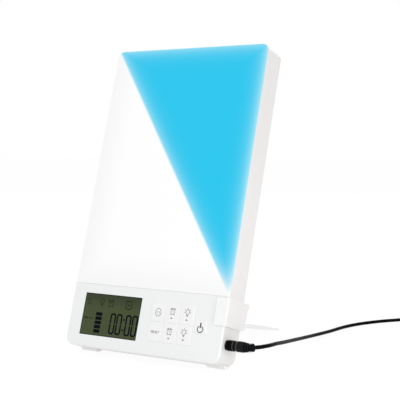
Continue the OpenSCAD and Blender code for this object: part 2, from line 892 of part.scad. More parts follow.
module adapter_face() {
    color("dimgray")
        translate(adapter_at + [0, 0, adapter_t - 3 + eps])
            hull() {
                linear_extrude(height = 1)
                    polygon(round_box(0, -adapter_w / 2, adapter_l, adapter_w / 2, 5, 5));
                translate([0, 0, 3 - eps - 0.02])
                    linear_extrude(height = 0.02)
                        polygon(round_box(2, -adapter_w / 2 + 2, adapter_l - 2, adapter_w / 2 - 2, 4, 4));
            }
}

module adapter_blades() {
    color("silver")
        for (side = [-1, 1])
            translate(adapter_at + [adapter_l / 2 + 8, side * 6.35, adapter_t])
                difference() {
                    rotate([90, 0, 0])
                        translate([0, 0, -0.75])
                            linear_extrude(height = 1.5)
                                polygon([[-3.15, 0], [3.15, 0], [3.15, blade_up - 2],
                                    [1.8, blade_up], [-1.8, blade_up], [-3.15, blade_up - 2]]);
                    translate([0, 2, blade_up - 5])
                        rotate([90, 0, 0])
                            cylinder(h = 4, r = 1.6);
                }
}

module adapter_relief() {
    color("dimgray")
        translate(tail_end)
            rotate([0, 90, 0])
                rotate_extrude()
                    polygon(concat([[0, 0], [cord_d / 2 + 0.5, 0]], [for (i = [1:4]) each [
                        [cord_d / 2 + 0.5 + 0.3 * i, 2 * i - 0.9], [cord_d / 2 + 0.1 + 0.3 * i, 2 * i - 0.6],
                        [cord_d / 2 + 0.1 + 0.3 * i, 2 * i]]], [[4, 9], [4, 11], [0, 11]]));
}

back_cover();
diffuser();
control_panel();
display_window();
display_glass();
display_carrier();
key_sound();
key_reset();
key_alarm_up();
key_alarm_down();
key_light_up();
key_light_down();
key_power();
key_switches();
control_board();
led_board();
white_leds();
blue_leds();
reflector_tray();
power_board();
led_lead();
dc_jack();
speaker();
cell_holder();
backup_cell();
cell_door();
door_screw();
case_screws();
rubber_feet();
stand_bracket();
stand_leg();
hinge_pin();
leg_strip();
plug_barrel();
plug_body();
plug_relief();
dc_cord();
cord_coil();
cord_tail();
adapter_case();
adapter_face();
adapter_blades();
adapter_relief();
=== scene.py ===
import bpy
import numpy as np
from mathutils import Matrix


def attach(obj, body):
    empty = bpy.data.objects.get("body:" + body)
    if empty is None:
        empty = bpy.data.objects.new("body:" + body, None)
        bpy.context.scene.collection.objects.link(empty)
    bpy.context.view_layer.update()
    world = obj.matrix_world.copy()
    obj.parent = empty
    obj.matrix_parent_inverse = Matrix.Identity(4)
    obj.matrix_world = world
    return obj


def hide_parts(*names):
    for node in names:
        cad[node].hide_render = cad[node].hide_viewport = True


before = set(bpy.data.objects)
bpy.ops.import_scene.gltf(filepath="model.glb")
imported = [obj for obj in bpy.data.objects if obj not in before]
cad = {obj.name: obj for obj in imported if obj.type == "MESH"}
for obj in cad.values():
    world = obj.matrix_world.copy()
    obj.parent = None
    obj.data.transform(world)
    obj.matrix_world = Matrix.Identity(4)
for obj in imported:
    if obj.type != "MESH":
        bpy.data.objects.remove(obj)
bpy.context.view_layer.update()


# ---- Camera ----
# The view of the photograph: from the side with the power key, a little above
# the display, through a long lens.
LENS_MM = 88.58
camera = bpy.data.objects.new("camera", bpy.data.cameras.new("camera"))
camera.data.sensor_width, camera.data.lens = 36.0, LENS_MM
camera.data.clip_start, camera.data.clip_end = 0.01, 50.0
camera.location = (0.43755, -0.69410, 0.16931)
camera.rotation_euler = np.radians((86.651, 0.0, 32.187))
bpy.context.scene.collection.objects.link(camera)
bpy.context.scene.camera = camera


# ---- Low-voltage cord ----
# One round 3 mm lead in black PVC, moulded into the plug at one end and into the
# wall adapter at the other. It leaves the lamp's side, sinks to the table and
# runs back; the rest of its length is wound up in a neat coil beside the adapter.
CORD_RADIUS = 0.0015
LEAN = np.radians(17.4)
HALF_FOOTPRINT, LIFT = 0.088742, 0.007868


def in_lamp(points):
    """Points of the upright lamp, (across, depth behind the front, height up the front), leaned
    back by a turn about its bottom edge, lifted onto its feet and centred on its footprint."""
    x, y, z = np.moveaxis(np.asarray(points, float), -1, 0)
    return np.stack([x, y * np.cos(LEAN) + z * np.sin(LEAN) - HALF_FOOTPRINT,
                     z * np.cos(LEAN) - y * np.sin(LEAN) + LIFT], -1)


def through(points, steps):
    """A smooth route. Between points b and c, with a before and d after them, it is half of
    2b + (c - a)t + (2a - 5b + 4c - d)t^2 + (3b - a - 3c + d)t^3; its first and last spans are straight."""
    p = np.asarray(points, float)
    t = (np.arange(steps) / steps)[None, :, None]
    a, b, c, d = (p[k:len(p) - 3 + k, None] for k in range(4))
    spans = (2 * b + (c - a) * t + (2 * a - 5 * b + 4 * c - d) * t**2 + (3 * b - a - 3 * c + d) * t**3) / 2
    return np.concatenate([p[:1], spans.reshape(-1, 3), p[-2:]])


def wound(centre, radius, loops, along, across, steps):
    """Four layers of loops. At turn t a loop's radius goes in and out by `across` a loop, as a
    zigzag of t, and its height climbs by `along` in the half turn round each reversal."""
    t = np.arange(int(4 * loops * steps) + 1) / steps
    layer = np.minimum(np.floor(t / loops), 3)
    u = t - layer * loops
    inward = np.where(layer % 2 == 0, u, loops - u)
    r = radius + across * (loops / 2 - inward)
    climb = sum(np.clip((t - k * loops) * 2 + 0.5, 0, 1) for k in (1, 2, 3))
    return centre + np.stack([-r * np.cos(2 * np.pi * t), r * np.sin(2 * np.pi * t), along * climb], -1)


def new_piece(name, points, faces, material, body, smooth=True):
    """A closed mesh at the origin that takes one material and rides on a body."""
    mesh = bpy.data.meshes.new(name)
    mesh.from_pydata(np.asarray(points, float).reshape(-1, 3).tolist(), [], [list(map(int, f)) for f in faces])
    mesh.materials.append(material)
    mesh.polygons.foreach_set("use_smooth", [smooth and len(f) == 4 for f in faces])
    mesh.update()
    piece = bpy.data.objects.new(name, mesh)
    bpy.context.scene.collection.objects.link(piece)
    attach(piece, body)
    return piece


def grid_faces(rings, sides, closed=False):
    """The quads between neighbouring rings of as many points each, and a cap on either end, or
    quads back to the first ring where the rings close."""
    i, k = np.meshgrid(np.arange(rings if closed else rings - 1) * sides, np.arange(sides), indexing="ij")
    n, j = (k + 1) % sides, (i + sides) % (rings * sides)
    quads = np.stack([i + k, i + n, j + n, j + k], -1).reshape(-1, 4)
    caps = [] if closed else [np.arange(sides)[::-1], (rings - 1) * sides + np.arange(sides)]
    return [*quads, *caps]


def swept(path, radii, sides):
    """Rings round a path: each point is path + radius (cos v across + sin v up), where across is
    level and square to the heading, and up is square to both."""
    path = np.asarray(path, float)
    ahead = np.concatenate([path[1:], path[-1:]]) - np.concatenate([path[:1], path[:-1]])
    ahead /= np.linalg.norm(ahead, axis=1)[:, None]
    across = np.cross([0.0, 0.0, 1.0], ahead)
    across /= np.linalg.norm(across, axis=1)[:, None]
    up = np.cross(ahead, across)
    v = 2 * np.pi * np.arange(sides) / sides
    ring = np.cos(v)[None, :, None] * across[:, None] + np.sin(v)[None, :, None] * up[:, None]
    return path[:, None] + np.broadcast_to(radii, len(path))[:, None, None] * ring


def skin(name, rings, material):
    """A closed piece of the black cord set over rings of as many points each."""
    return new_piece(name, rings, grid_faces(*rings.shape[:2]), material, "lamp")


def wire(material, kind, inputs=(), **settings):
    """A shader node of that kind, with its own settings, its inputs set to values or joined to outputs."""
    made = material.node_tree.nodes.new("ShaderNode" + kind)
    for key, value in settings.items():
        setattr(made, key, value)
    for key, value in dict(inputs).items():
        if isinstance(value, bpy.types.NodeSocket):
            material.node_tree.links.new(value, made.inputs[key])
        else:
            made.inputs[key].default_value = value
    return made


def mixed(material, share, under, over):
    """Two colours, as outputs or values: (1 - share) under + share over."""
    return wire(material, "Mix", {0: share, 6: under, 7: over}, data_type="RGBA").outputs[2]


def blank(name):
    """A new material, and its shader."""
    material = bpy.data.materials.new(name)
    material.use_nodes = True
    return material, material.node_tree.nodes["Principled BSDF"]


def plastic(name, colour, roughness, grain=2200.0, depth=0.00003, drift=0.04, spread=0.08, gloss=0.5, soak=0.0):
    """Moulded plastic. The colour drifts by a few per cent over centimetres, and a fine grain
    varies the roughness and dimples the surface. Light soaks soak metres into a pale one."""
    material, shader = blank(name)
    place = wire(material, "TexCoord").outputs["Object"]
    clouds = wire(material, "TexNoise", {"Vector": place, "Scale": 38.0, "Detail": 4.0}).outputs[0]
    fine = wire(material, "TexNoise", {"Vector": place, "Scale": grain, "Detail": 3.0}).outputs[0]
    dark, light = ([min(c * (1 + way * drift), 1.0) for c in colour] for way in (-1, 1))
    tone = mixed(material, clouds, (*dark, 1), (*light, 1))
    rough = wire(material, "MapRange", {"Value": fine, "From Min": 0.3, "From Max": 0.7,
                                        "To Min": roughness - spread, "To Max": roughness + spread}).outputs[0]
    bump = wire(material, "Bump", {"Height": fine, "Strength": 0.5, "Distance": depth}).outputs[0]
    for key, value in (("Base Color", tone), ("Roughness", rough), ("Normal", bump)):
        material.node_tree.links.new(value, shader.inputs[key])
    shader.inputs["Specular IOR Level"].default_value = gloss
    if soak:
        shader.inputs["Subsurface Weight"].default_value = 1.0
        shader.inputs["Subsurface Radius"].default_value = (1.0, 1.0, 1.0)
        shader.inputs["Subsurface Scale"].default_value = soak
    return material


black_pvc = plastic("black_pvc", (0.003, 0.0035, 0.0045), 0.38, grain=1500.0, drift=0.25, gloss=0.02)
jack = in_lamp((0.0723, 0.0084, 0.0155))
GRIP, STRAIGHT, NECK = 0.0150, 0.0008, 0.0016
BEND_RADIUS, BEND = 0.0060, np.radians(55)
leaving = np.array([np.cos(BEND), np.sin(BEND), 0.0])


def bent(distance):
    """Points of the strain relief's middle line, at distances from the plug's grip: STRAIGHT along
    +X, then an arc of BEND with BEND_RADIUS, and on straight."""
    angle = np.clip((distance - STRAIGHT) / BEND_RADIUS, 0, BEND)
    line = np.stack([np.minimum(distance, STRAIGHT) + BEND_RADIUS * np.sin(angle),
                     BEND_RADIUS * (1 - np.cos(angle)), 0 * angle], -1)
    past = np.maximum(distance - STRAIGHT - BEND_RADIUS * BEND, 0)
    return jack + (GRIP, 0, 0) + line + past[:, None] * leaving


RIBBED = STRAIGHT + BEND_RADIUS * BEND
RELIEF_LENGTH = RIBBED + NECK
relief_end = bent(np.array([RELIEF_LENGTH]))[0]
coil = wound(np.array([0.136, 0.212, CORD_RADIUS]), radius=0.017, loops=2.5, along=0.0036, across=0.0037, steps=48)
coil_start, coil_end = coil[0] - (0, 0.003, 0), coil[-1] + (0, 0.003, 0)
tail_end = np.array([0.155, 0.240, 0.016])
cord_route = np.concatenate([
    through([relief_end, relief_end + 0.003 * leaving, [0.0979, -0.0659, 0.0203],
             [0.0989, -0.0618, 0.02025], [0.0988, -0.0562, 0.01985], [0.0972, -0.046, 0.0188],
             [0.092, -0.023, 0.0154], [0.085, 0.005, 0.0113], [0.0787, 0.035, 0.0073], [0.0747, 0.065, 0.0041],
             [0.074, 0.098, 0.002], [0.076, 0.127, 0.00165], [0.082, 0.150, 0.00156],
             [0.093, 0.172, 0.00154], [0.106, 0.190, 0.00153], coil_start - (0, 0.003, 0), coil_start], 10)[:-1],
    coil,
    through([coil_end, coil_end + (0, 0.003, 0), [0.117, 0.228, 0.013], [0.124, 0.236, 0.014],
             [0.136, 0.240, 0.0155], tail_end - (0.003, 0, 0), tail_end], 10)])
cord = skin("cord", swept(cord_route, CORD_RADIUS, 14), black_pvc)
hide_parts("dc_cord", "cord_coil", "cord_tail")


# ---- Plug ----
# The barrel plug's overmould, in black PVC too: a domed collar, a groove between two rubbed edges, a
# matt round grip, and a ribbed strain relief that thins towards the cord and has bent with it.
def revolved(profile, start, sides):
    """Rings of a profile of (distance d, radius r): start + (d, r cos v, r sin v)."""
    d, r = np.asarray(profile, float).T
    v = 2 * np.pi * np.arange(sides) / sides
    return start + np.stack([np.broadcast_to(d[:, None], (len(d), sides)), r[:, None] * np.cos(v),
                             r[:, None] * np.sin(v)], -1)


def sums(material, operation, a, b=0.0, c=0.0):
    """The result of a Math node on one, two or three values."""
    return wire(material, "Math", {0: a, 1: b, 2: c}, operation=operation).outputs[0]


def ramp(material, value, low, high, to_low=0.0, to_high=1.0):
    """to_low + (to_high - to_low)(3t^2 - 2t^3), where t goes from 0 at low to 1 at high and stays there."""
    return wire(material, "MapRange", {"Value": value, "From Min": low, "From Max": high, "To Min": to_low,
                                       "To Max": to_high}, interpolation_type="SMOOTHSTEP").outputs[0]


def tint(material, share, colour=None, under=None):
    """Lays a colour over a plastic's own colour by a share of 0 to 1, or its own over another one."""
    base = material.node_tree.nodes["Principled BSDF"].inputs["Base Color"]
    own = base.links[0].from_socket
    laid = mixed(material, share, own, (*colour, 1)) if colour else mixed(material, share, (*under, 1), own)
    material.node_tree.links.new(laid, base)


def metal(name, colour, roughness, brushed=(1.0, 1.0, 1.0)):
    """Bare metal: its gloss varies in streaks, long along the axis with the smallest number."""
    material, shader = blank(name)
    place = wire(material, "TexCoord").outputs["Object"]
    turned = wire(material, "Mapping", {"Vector": place, "Scale": brushed}).outputs[0]
    streaks = wire(material, "TexNoise", {"Vector": turned, "Scale": 900.0, "Detail": 4.0}).outputs[0]
    rough = wire(material, "MapRange", {"Value": streaks, "From Min": 0.3, "From Max": 0.7,
                                        "To Min": roughness * 0.7, "To Max": roughness * 1.4}).outputs[0]
    tone = mixed(material, streaks, (*[c * 0.88 for c in colour], 1), (*colour, 1))
    bump = wire(material, "Bump", {"Height": streaks, "Strength": 0.25, "Distance": 0.00002}).outputs[0]
    for key, value in (("Base Color", tone), ("Roughness", rough), ("Normal", bump)):
        material.node_tree.links.new(value, shader.inputs[key])
    shader.inputs["Metallic"].default_value = 1.0
    return material


def cover(material, *names):
    """Gives CAD nodes their finish."""
    for name in names:
        cad[name].data.materials.clear()
        cad[name].data.materials.append(material)


plug_pvc = plastic("plug_pvc", (0.0105, 0.0115, 0.0125), 0.42, grain=1500.0, drift=0.2, gloss=0.04)
place = wire(plug_pvc, "TexCoord").outputs["Object"]
distance = sums(plug_pvc, "SUBTRACT", wire(plug_pvc, "SeparateXYZ", {0: place}).outputs["X"], float(jack[0]))
COLLAR_EDGE, GRIP_EDGE, PLUG_RADIUS = 0.0062, 0.0094, 0.00405
# Painted shade: the relief's grooves are painted almost black.
painted_groove_shade = wire(plug_pvc, "Attribute", attribute_name="groove").outputs["Fac"]
tint(plug_pvc, painted_groove_shade, (0.0005, 0.0005, 0.0005))
tint(plug_pvc, ramp(plug_pvc, distance, 0.0064, 0.0086), under=(0.001, 0.0012, 0.0012))
edges = [ramp(plug_pvc, sums(plug_pvc, "ABSOLUTE", sums(plug_pvc, "SUBTRACT", distance, at)), 0.0002, 0.0006, 1.0, 0.0)
         for at in (COLLAR_EDGE, GRIP_EDGE)]
polish = sums(plug_pvc, "MULTIPLY_ADD", sums(plug_pvc, "MAXIMUM", *edges), 0.6, 0.04)
plug_pvc.node_tree.links.new(polish, plug_pvc.node_tree.nodes["Principled BSDF"].inputs["Specular IOR Level"])

dome = np.radians(np.linspace(0, 90, 9))
DOME = 0.0018
plug_profile = [*zip(DOME * (1 - np.cos(dome)), PLUG_RADIUS - DOME * (1 - np.sin(dome))),
                (COLLAR_EDGE, PLUG_RADIUS), (0.0066, 0.00402), (0.0068, 0.0039), (0.0070, 0.00355),
                (0.0072, 0.00345), (0.0084, 0.00345), (0.0086, 0.00355), (0.0088, 0.0039), (0.0090, 0.00402),
                (GRIP_EDGE, PLUG_RADIUS), (0.0115, PLUG_RADIUS), (0.0140, 0.00398), (0.0146, 0.0039),
                (GRIP, 0.00375)]
plug = skin("plug", revolved(plug_profile, jack, 40), plug_pvc)
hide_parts("plug_body")

RIBS, GROOVE_DEPTH, RELIEF_SIDES = 5, 0.0007, 28
along = np.linspace(0, RELIEF_LENGTH, 121)
groove = np.clip((0.3 - np.abs((along / RIBBED * RIBS) % 1 - 0.55)) / 0.12, 0, 1)
ribbed = 0.00375 - 0.0007 * along / RIBBED - GROOVE_DEPTH * groove
neck = np.clip((along - RIBBED) / NECK, 0, 1)
relief_radius = np.where(along < RIBBED, ribbed, CORD_RADIUS + 0.0016 * (1 - neck) ** 3)
relief = skin("relief", swept(bent(along), relief_radius, RELIEF_SIDES), plug_pvc)
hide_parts("plug_relief")
# The groove profile goes on the relief as the mask for the painted shade in its grooves.
relief.data.attributes.new("groove", "FLOAT", "POINT").data.foreach_set("value", np.repeat(groove, RELIEF_SIDES))
nickel = metal("nickel", (0.78, 0.76, 0.72), 0.18, (1.0, 0.1, 1.0))
cover(nickel, "plug_barrel", "adapter_blades")


# ---- Wall adapter ----
# A small mains adapter in black ABS, lying on its back with its two blades up: a rounded case,
# closed by a bevelled face plate. The cord leaves its end through a stepped PVC sleeve.
black_abs = plastic("black_abs", (0.016, 0.016, 0.018), 0.5, grain=1400.0, depth=0.00006, drift=0.2)
cover(black_abs, "adapter_case", "adapter_face")
cover(black_pvc, "adapter_relief")


# ---- Studio ----
# A plain white floor that keeps the shadow, a white room round it, three broad soft lamps, above the
# camera, at the right and behind, and a small low one that fills the shade beside the plug.
WHITE = (1.0, 1.0, 1.0, 1.0)


def seen(material):
    """1 for a ray from the camera or one that it sees by way of gloss or glass, else 0."""
    path = wire(material, "LightPath").outputs
    mirrored = sums(material, "MAXIMUM", path["Is Glossy Ray"], path["Is Transmission Ray"])
    return sums(material, "MAXIMUM", path["Is Camera Ray"], mirrored)


world = bpy.data.worlds.new("room")
bpy.context.scene.world = world
world.use_nodes = True
strength = wire(world, "MapRange", {"Value": seen(world), "To Min": 0.74, "To Max": 1.0}).outputs[0]
background = world.node_tree.nodes["Background"]
background.inputs["Color"].default_value = WHITE
world.node_tree.links.new(strength, background.inputs["Strength"])

floor_finish, paper = blank("floor")
paper.inputs["Base Color"].default_value = (0.9, 0.9, 0.9, 1.0)
paper.inputs["Roughness"].default_value = 0.9
paper.inputs["Specular IOR Level"].default_value = 0.1
share = wire(floor_finish, "MapRange", {"Value": seen(floor_finish), "To Min": 0.4, "To Max": 0.88}).outputs[0]
glow = wire(floor_finish, "Emission", {"Color": WHITE, "Strength": 1.035}).outputs[0]
blend = wire(floor_finish, "MixShader", {0: share, 1: paper.outputs[0], 2: glow}).outputs[0]
floor_finish.node_tree.links.new(blend, floor_finish.node_tree.nodes["Material Output"].inputs["Surface"])
floor_mesh = bpy.data.meshes.new("floor")
floor_mesh.from_pydata([(-9, -9, 0), (9, -9, 0), (9, 9, 0), (-9, 9, 0)], [], [(0, 1, 2, 3)])
floor_mesh.materials.append(floor_finish)
floor = bpy.data.objects.new("floor", floor_mesh)
bpy.context.scene.collection.objects.link(floor)

for name, place, turn, size, power in (("soft_lamp", (0.1, -1.1, 1.3), (42, 0, 5), 1.3, 5.0),
                                       ("side_lamp", (1.3, -0.45, 0.35), (80, 0, 71), 1.2, 2.5),
                                       ("back_lamp", (-0.3, 1.6, 1.2), (55, 0, 190), 1.4, 8.0),
                                       ("low_lamp", (0.29, -0.15, 0.05), (92, 0, 78), 0.08, 0.10)):
    light = bpy.data.lights.new(name, "AREA")
    light.size, light.energy = size, power
    lamp = bpy.data.objects.new(name, light)
    lamp.location, lamp.rotation_euler = place, np.radians(turn)
    bpy.context.scene.collection.objects.link(lamp)
bpy.context.scene.view_settings.view_transform = "Standard"


# ---- Casing ----
# The back cover, the control panel and the cell door are moulded in the same white ABS with a
# fine satin grain. The cover is held by four screws from behind; the door has one of its own.
white_abs = plastic("white_abs", (0.795, 0.777, 0.770), 0.42, grain=2600.0, drift=0.012)
cover(white_abs, "back_cover", "cell_door")
panel_abs = plastic("panel_abs", (0.868, 0.882, 0.882), 0.36, grain=3000.0, depth=0.00002, drift=0.01)
cover(panel_abs, "control_panel")
screw_steel = metal("screw_steel", (0.62, 0.62, 0.64), 0.28, (1.0, 0.2, 1.0))
cover(screw_steel, "case_screws", "door_screw")


# ---- Diffuser ----
# An opal acrylic sheet over the LEDs, lit: white light on one side of a slanting line and blue on
# the other. The light falls off a little towards the rim and bleeds across the line, and the blue
# fades out in its lowest corner.
BODY_HEIGHT, HALF_WIDTH, SEAM_HEIGHT = 0.250, 0.072, 0.0504
LINE_TOP, LINE_TIP = np.array([-0.0648, 0.2423]), np.array([0.0700, 0.0546])
FADE_START, FADE_END, FADE_POWER = 0.088, 0.052, 3.2
BLEED_PER_METRE, SOFT_RIM = 240.0, 0.03


def lamp_place(material):
    """Object coordinates turned upright again: across, depth and height of the lamp's own box."""
    place = wire(material, "TexCoord").outputs["Object"]
    turned = wire(material, "Mapping", {"Vector": place, "Location": (0.0, -HALF_FOOTPRINT, LIFT),
                                        "Rotation": (-LEAN, 0.0, 0.0)}, vector_type="TEXTURE").outputs[0]
    return wire(material, "SeparateXYZ", {0: turned}).outputs


opal, sheet = blank("opal_lit")
across, _, height = lamp_place(opal)
run = (LINE_TIP - LINE_TOP) / np.linalg.norm(LINE_TIP - LINE_TOP)
normal = np.array([-run[1], run[0]])
beyond = sums(opal, "ADD", sums(opal, "MULTIPLY", across, normal[0]),
              sums(opal, "MULTIPLY_ADD", height, normal[1], -float(normal @ LINE_TOP)))
from_top = sums(opal, "SUBTRACT", BODY_HEIGHT, height)
from_right = sums(opal, "SUBTRACT", HALF_WIDTH, across)
from_left = sums(opal, "ADD", HALF_WIDTH, across)
rim = sums(opal, "MINIMUM", sums(opal, "MINIMUM", from_top, from_right), sums(opal, "MAXIMUM", beyond, 0.0))
bleed = sums(opal, "POWER", np.e, sums(opal, "MULTIPLY", rim, -BLEED_PER_METRE))
blue = mixed(opal, bleed, (0.004, 0.56, 0.85, 1), (0.58, 0.92, 0.96, 1))
edge = sums(opal, "MINIMUM", from_left, sums(opal, "MINIMUM", from_top, sums(opal, "SUBTRACT", height, SEAM_HEIGHT)))
pale = mixed(opal, ramp(opal, edge, 0.0, SOFT_RIM), (0.88, 0.88, 0.885, 1), (0.985, 0.985, 0.985, 1))
fade = wire(opal, "MapRange", {"Value": height, "From Min": FADE_START, "From Max": FADE_END}).outputs[0]
kept = sums(opal, "SUBTRACT", 1.0, sums(opal, "POWER", fade, FADE_POWER))
split = sums(opal, "MULTIPLY", ramp(opal, beyond, -0.0014, 0.0010), kept)
for key, value in (("Base Color", mixed(opal, split, (0.47, 0.47, 0.47, 1), (0.004, 0.26, 0.40, 1))),
                   ("Emission Color", mixed(opal, split, pale, blue))):
    opal.node_tree.links.new(value, sheet.inputs[key])
sheet.inputs["Emission Strength"].default_value = 0.515
sheet.inputs["Roughness"].default_value = 0.45
sheet.inputs["Specular IOR Level"].default_value = 0.3
cover(opal, "diffuser")


# ---- Display ----
# A reflective LCD cell with an olive back, in a white carrier behind the control panel. Its clear
# front pane sits almost flush in the panel, and its rim is printed dark.
LEFT, RIGHT, BOTTOM, TOP = -0.05935, -0.00425, 0.0095, 0.0427
pane = plastic("lcd_face", (0.048, 0.066, 0.019), 0.22, grain=900.0, depth=0.000002, drift=0.12, spread=0.04,
               gloss=0.25)
across, _, height = lamp_place(pane)
to_side = sums(pane, "MINIMUM", sums(pane, "SUBTRACT", across, LEFT), sums(pane, "SUBTRACT", RIGHT, across))
to_end = sums(pane, "MINIMUM", sums(pane, "SUBTRACT", height, BOTTOM), sums(pane, "SUBTRACT", TOP, height))
inside = ramp(pane, sums(pane, "MINIMUM", to_side, to_end), 0.0003, 0.0009)
# Painted shade: the pane is painted darker towards its top edge.
tint(pane, ramp(pane, height, 0.030, 0.044), (0.024, 0.033, 0.010))
tint(pane, inside, under=(0.008, 0.009, 0.006))
cover(pane, "display_window")
cell_olive = plastic("lcd_cell", (0.09, 0.10, 0.06), 0.18, grain=700.0, depth=0.000002, drift=0.08)
cover(cell_olive, "display_glass")
carrier_abs = plastic("carrier_abs", (0.78, 0.78, 0.80), 0.5, drift=0.02)
cover(carrier_abs, "display_carrier")


# ---- Display signs ----
# What the LCD shows: an unset clock of four zeros, a column of five level bars, a row of small
# outlined signs above them, and two dashes. Each is a dark film at the pane's front.
def arc(x, z, r, start, end, steps=8, tall=1.0):
    """Points (x + r cos a, z + tall r sin a), where a runs from start to end, in degrees."""
    a = np.radians(np.linspace(start, end, steps + 1))
    return np.stack([x + r * np.cos(a), z + tall * r * np.sin(a)], -1)


def rounded(x, z, w, h, r):
    """A closed rectangle round (x, z) with four quarter arcs of radius r at its corners."""
    turns = [arc(x + i * (w / 2 - r), z + k * (h / 2 - r), r, a, a + 90)
             for i, k, a in ((1, 1, 0), (-1, 1, 90), (-1, -1, 180), (1, -1, 270))]
    return np.concatenate([*turns, turns[0][:1]])


def stroke(path, width, near, far):
    """A flat line along a path of (across, height), between two depths. Its edges lie half a width
    to either side, along the mitre (m + n) / (1 + m.n) of the normals m, n of neighbouring steps."""
    p = np.asarray(path, float)
    closed = len(p) > 2 and np.allclose(p[0], p[-1])
    step = np.diff(p, axis=0)
    step /= np.linalg.norm(step, axis=1)[:, None]
    side = np.stack([-step[:, 1], step[:, 0]], -1)
    before = np.concatenate([side[-1:] if closed else side[:1], side])
    after = np.concatenate([side, side[:1] if closed else side[-1:]])
    mitre = (before + after) / (1 + (before * after).sum(1))[:, None] * width / 2
    if closed:
        p, mitre = p[:-1], mitre[:-1]
    corners = [np.insert(p + s * mitre, 1, y, axis=1) for s, y in ((-1, near), (-1, far), (1, far), (1, near))]
    return np.stack(corners, 1).reshape(-1, 3), grid_faces(len(p), 4, closed)


def printed(name, lines, near, far, material, body):
    """Lines of one ink as one piece. Each is a path, in millimetres on the lamp's front, and a width."""
    points, faces, count = [], [], 0
    for path, width in lines:
        corners, sides = stroke(path, width, near, far)
        points.append(corners)
        faces += [np.asarray(f) + count for f in sides]
        count += len(corners)
    return new_piece(name, in_lamp(np.concatenate(points) / 1000), faces, material, body, smooth=False)


def half_zero(left, right, middle, end, corner=1.5):
    """One U of a seven-segment zero: from the middle along one side, round the end, and back."""
    up = np.sign(end - middle)
    turns = [arc(left + corner, end - up * corner, corner, 180, 90, 5, up),
             arc(right - corner, end - up * corner, corner, 90, 0, 5, up)]
    return np.concatenate([[(left, middle)], *turns, [(right, middle)]])


def alarm_clock(x, z, k):
    """A twin-bell alarm clock: a ring, two bells on it, two hands and two feet, k times its size."""
    return [(arc(x, z - 0.4 * k, 1.65 * k, 0, 360, 20), 0.3 * k),
            ([(x - 2.0 * k, z + 1.3 * k), (x - 0.4 * k, z + 2.1 * k)], 0.65 * k),
            ([(x + 2.0 * k, z + 1.3 * k), (x + 0.4 * k, z + 2.1 * k)], 0.65 * k),
            ([(x, z + 0.4 * k), (x, z - 0.4 * k), (x + 0.5 * k, z - 0.4 * k)], 0.26 * k),
            ([(x - 1.1 * k, z - 1.8 * k), (x - 1.6 * k, z - 2.5 * k)], 0.4 * k),
            ([(x + 1.1 * k, z - 1.8 * k), (x + 1.6 * k, z - 2.5 * k)], 0.4 * k)]


def bulb(x, z, k, rays=()):
    """A light bulb: an open ring, its neck, two bars for the cap, and rays at some angles."""
    glass = np.concatenate([[(x - 0.5 * k, z - 1.2 * k)], arc(x, z + 0.8 * k, 1.6 * k, 245, -65, 16),
                            [(x + 0.5 * k, z - 1.2 * k)]])
    spokes = [[(x + k * r * np.cos(a), z + k * (0.8 + r * np.sin(a))) for r in (2.15, 2.9)]
              for a in np.radians(rays)]
    return [(glass, 0.36 * k), ([(x - 0.7 * k, z - 1.6 * k), (x + 0.7 * k, z - 1.6 * k)], 0.6 * k),
            ([(x - 0.45 * k, z - 2.3 * k), (x + 0.45 * k, z - 2.3 * k)], 0.5 * k),
            *[(spoke, 0.4 * k) for spoke in spokes]]


zeros = [(half_zero(left + 0.65, left + 4.75, 20.2 + 0.28 * up, 20.2 + 7.65 * up), 1.3)
         for left in (-31.7, -25.5, -16.7, -10.5) for up in (1, -1)]
colon = [([(-19.2, z), (-17.6, z)], 1.6) for z in (24.2, 16.2)]
bars = [([(-46.3, z), (-40.2, z)], 2.72) for z in np.linspace(26.65, 13.1, 5)]
lcd_dark = plastic("lcd_dark", (0.0006, 0.002, 0.005), 0.5, grain=900.0, depth=0.000002, drift=0.1, gloss=0.05)
printed("clock_digits", zeros + colon + bars, 0.24, 0.32, lcd_dark, "lamp")

lcd_faint = plastic("lcd_faint", (0.009, 0.013, 0.005), 0.5, grain=900.0, depth=0.000002, drift=0.2, gloss=0.08)
signs = [(rounded(-16.1, 36.0, 5.4, 6.2, 1.1), 0.65), ([(-16.1, 37.5), (-16.1, 34.6)], 0.4),
         ([(-17.4, 36.0), (-14.8, 36.0)], 0.4),
         (np.concatenate([arc(-55.1, 36.6, 1.3, 200, -20, 8, 1.4),
                          [(-53.4, 34.2), (-56.8, 34.2), (-56.3, 36.0)]]), 0.35),
         ([(-57.9, 22.9), (-53.4, 22.9)], 0.8), ([(-52.2, 22.8), (-48.7, 22.8)], 0.6)]
printed("clock_signs", signs + alarm_clock(-33.3, 36.1, 1.25) + bulb(-42.4, 36.4, 1.2), 0.25, 0.32,
        lcd_faint, "lamp")


# ---- Keys ----
# Six keys in a block and a square one beside it, each a white ABS cap over a tact switch, with its
# sign pad-printed on it in grey, which rides on its own key. The lips of a white silicone mat close
# the gaps round the keys, and a bead of the same silicone closes the seam above the panel.
key_abs = plastic("key_abs", (0.89, 0.89, 0.885), 0.34, grain=3200.0, depth=0.000015, drift=0.008)
cover(key_abs, *[name for name in cad if name.startswith("key_") and name != "key_switches"])
grey_ink = plastic("grey_ink", (0.15, 0.15, 0.155), 0.6, grain=2000.0, depth=0.00001, drift=0.15, gloss=0.2)
dark_ink = plastic("dark_ink", (0.055, 0.055, 0.06), 0.6, grain=2000.0, depth=0.00001, drift=0.15, gloss=0.2)
silicone = plastic("silicone", (0.94, 0.94, 0.93), 0.55, grain=1200.0, drift=0.03, gloss=0.35)
KEY_WIDE, KEY_TALL, SQUARE, GAP = 11.9, 14.3, 9.6, 0.12
COLUMNS, ROWS, POWER_AT = (12.7, 25.8, 38.9), (17.95, 33.45), (52.6, 25.3)
LIP_WIDTH, CORNER, BENEATH = 0.10, 1.26, 0.6
lips = [(rounded(x, z, KEY_WIDE + GAP, KEY_TALL + GAP, CORNER), LIP_WIDTH) for x in COLUMNS for z in ROWS]
